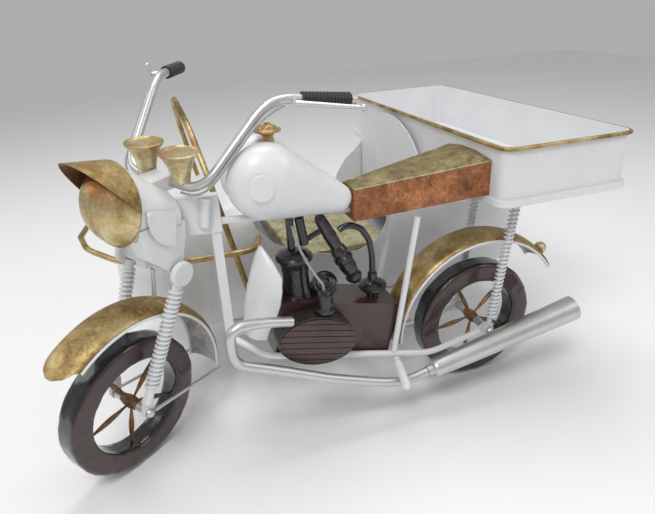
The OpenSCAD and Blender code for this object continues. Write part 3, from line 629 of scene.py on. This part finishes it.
def visor():
    """The peak over the lamp, dark copper on its underside."""
    piece = smoothed("lamp_visor", "steering", "brass", BRASS, 50)
    piece.data.materials.append(VISOR_INSIDE)
    axis = (STEERED @ Matrix.Rotation(LAMP_PITCH, 4, "Y")).to_3x3() @ Vector((1, 0, 0))
    axis.normalize()
    root = STEERED @ LAMP_RIM
    for face in piece.data.polygons:
        reach = face.center - root
        reach -= axis * reach.dot(axis)
        face.material_index = int(face.normal.dot(reach) < 0)


visor()

# ---------- seats ----------

SEAT_FRONT = (-210.5, 20.0, 356.0)  # place along the machine, half width, height of the top
SEAT_BACK = (-23.4, 55.0, 379.0)


def seat():
    """A tapered tin saddle: mottled copper sides, a crowned brass top and a bright wire along each edge."""
    body = smoothed("seat_body", "frame", "copper", SEAT_SIDE, 30)
    soften(body, 2.2 * MM, 3)
    smooth(body, 45)
    smoothed("seat_cover", "frame", "brass", SEAT_TOP, 40)
    wires = []
    for side in (-1, 1):
        ends = [Vector((x, side * (half + 0.3), top - 2.0)) for x, half, top in (SEAT_FRONT, SEAT_BACK)]
        run = ends[1] - ends[0]
        bpy.ops.mesh.primitive_cylinder_add(vertices=10, radius=0.9, depth=run.length)
        wire = active("seat_wire")
        turn = run.to_track_quat("Z", "Y").to_matrix().to_4x4()
        wire.matrix_world = Matrix.Translation((ends[0] + ends[1]) / 2) @ turn
        bpy.ops.object.transform_apply(location=True, rotation=True, scale=True)
        wires.append(wire)
    edging = settle(joined("seat_edging", wires), FIXED)
    smooth(edging, 60)
    edging.data.materials.append(PALE_BRASS)
    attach(edging, "frame")


seat()


def sidecar_seat():
    """A shallow pan with well rounded corners."""
    low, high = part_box("sidecar_seat")
    size = high - low
    bpy.ops.mesh.primitive_cube_add(size=1, location=(low + high) / 2)
    piece = active("sidecar_seat_pan")
    piece.scale = size
    bpy.ops.object.transform_apply(location=True, rotation=True, scale=True)
    bpy.ops.object.mode_set(mode="EDIT")
    bm = bmesh.from_edit_mesh(piece.data)
    for edge in bm.edges:
        edge.select = abs((edge.verts[0].co - edge.verts[1].co).z) > size.z * 0.9
    bm.select_flush(False)
    bmesh.update_edit_mesh(piece.data)
    bpy.ops.mesh.bevel(offset=70 * MM, segments=16)
    bpy.ops.mesh.select_all(action="SELECT")
    bpy.ops.object.mode_set(mode="OBJECT")
    soften(piece, 3 * MM, 3)
    smooth(piece, 40)
    hand_in(piece, "frame", "brass", ["sidecar_seat"], PALE_BRASS)


sidecar_seat()

# ---------- engine drum ----------


DRUM_AT = (-284, 0, 162)
DRUM_PITCH = math.radians(13.5)
DRUM_WIDE, DRUM_TALL = 57, 37
DRUM_FACE = -66
HOOP_STEP = 3.7
SLAT = 9.2


def oval(name, wide, tall, near, far):
    """An oval disc on the engine's side, from near to far along Y."""
    middle = (0, (near + far) / 2, 0)
    bpy.ops.mesh.primitive_cylinder_add(
        vertices=96, radius=1, depth=far - near, location=middle, rotation=(math.pi / 2, 0, 0)
    )
    piece = active(name)
    bpy.ops.object.transform_apply(location=True, rotation=True, scale=True)
    piece.scale = (wide, 1, tall)
    bpy.ops.object.transform_apply(location=True, rotation=True, scale=True)
    return piece


def drum():
    """The oval side cover: a hooped edge and a slatted face."""
    parts = [oval("drum_core", DRUM_WIDE - 1.6, DRUM_TALL - 1.6, DRUM_FACE + 1.6, -33.2)]
    for k in range(8):
        near = DRUM_FACE + 2.4 + HOOP_STEP * k
        parts.append(oval("drum_hoop", DRUM_WIDE, DRUM_TALL, near, near + 2.6))
    for piece in parts[1:]:
        soften(piece, 0.8, 2)
    for k in range(8):
        blank = oval("drum_slat", DRUM_WIDE - 2, DRUM_TALL - 2, DRUM_FACE, DRUM_FACE + 2)
        middle = (k - 3.5) * SLAT
        bpy.ops.object.mode_set(mode="EDIT")
        for shift, up in ((-SLAT / 2 + 0.35, -1), (SLAT / 2 - 0.35, 1)):
            bpy.ops.mesh.select_all(action="SELECT")
            bpy.ops.mesh.bisect(
                plane_co=(0, 0, middle + shift), plane_no=(0, 0, up), clear_outer=True, use_fill=True
            )
        bpy.ops.object.mode_set(mode="OBJECT")
        if blank.data.vertices:
            soften(blank, 0.4, 2)
            parts.append(blank)
        else:
            bpy.data.objects.remove(blank)
    whole = joined("drum_cover", parts)
    tilt = Matrix.Translation(DRUM_AT) @ Matrix.Rotation(DRUM_PITCH, 4, "Y")
    settle(whole, FIXED @ tilt)
    smooth(whole, 35)
    hand_in(whole, "frame", "black", ["side_cover"], ENGINE_BLACK, ENGINE_PAINTED_REFLECTION)
    # Faces that look squarely to the near side take the painted maroon reflection.
    for face in whole.data.polygons:
        face.material_index = int(face.normal.y < -0.8)


drum()

# ---------- stage ----------

LENS = 30.735
EYE = at(-469.9, -679.9, 586.7)
YAW = math.radians(18.33)
DIP = math.radians(24.865)
ROLL = math.radians(-2.889)


def camera():
    ahead = Vector((math.sin(YAW) * math.cos(DIP), math.cos(YAW) * math.cos(DIP), -math.sin(DIP)))
    level = Vector((math.cos(YAW), -math.sin(YAW), 0))
    above = level.cross(ahead)
    right = level * math.cos(ROLL) + above * math.sin(ROLL)
    up = above * math.cos(ROLL) - level * math.sin(ROLL)
    turn = Matrix((right, up, -ahead)).transposed()
    bpy.ops.object.camera_add(location=EYE)
    eye = bpy.context.object
    eye.rotation_mode = "QUATERNION"
    eye.rotation_quaternion = turn.to_quaternion()
    eye.data.lens = LENS
    eye.data.sensor_width = 36
    bpy.context.scene.camera = eye


def studio():
    bpy.ops.mesh.primitive_plane_add(size=8, location=(0, 0, 0))
    floor = active("studio_floor")
    f = Finish("pale_floor")
    shade = f.noise(1.5, 2)
    pale = f.mix(shade, (0.86, 0.86, 0.86), (0.90, 0.90, 0.90))
    floor.data.materials.append(f.set(Base_Color=pale, Roughness=0.9))
    bpy.context.scene.view_settings.view_transform = "Standard"
    world = bpy.data.worlds.new("studio_air")
    bpy.context.scene.world = world
    world.use_nodes = True
    world.node_tree.nodes["Background"].inputs["Color"].default_value = (1, 1, 1, 1)
    world.node_tree.nodes["Background"].inputs["Strength"].default_value = 0.42
    middle = at(-150, 100, 200)
    for place, size, power in (
        ((-0.9, -1.3, 1.9), 0.7, 22),
        ((1.3, -0.9, 1.2), 0.9, 5),
        ((0.1, 0.4, 2.2), 1.2, 20),
        ((-1.6, 0.6, 1.0), 0.8, 4),
    ):
        bpy.ops.object.light_add(type="AREA", location=middle + Vector(place))
        lamp = bpy.context.object
        lamp.data.shape = "SQUARE"
        lamp.data.size = size
        lamp.data.energy = power
        lamp.rotation_euler = (-Vector(place)).to_track_quat("-Z", "Y").to_euler()


camera()
studio()
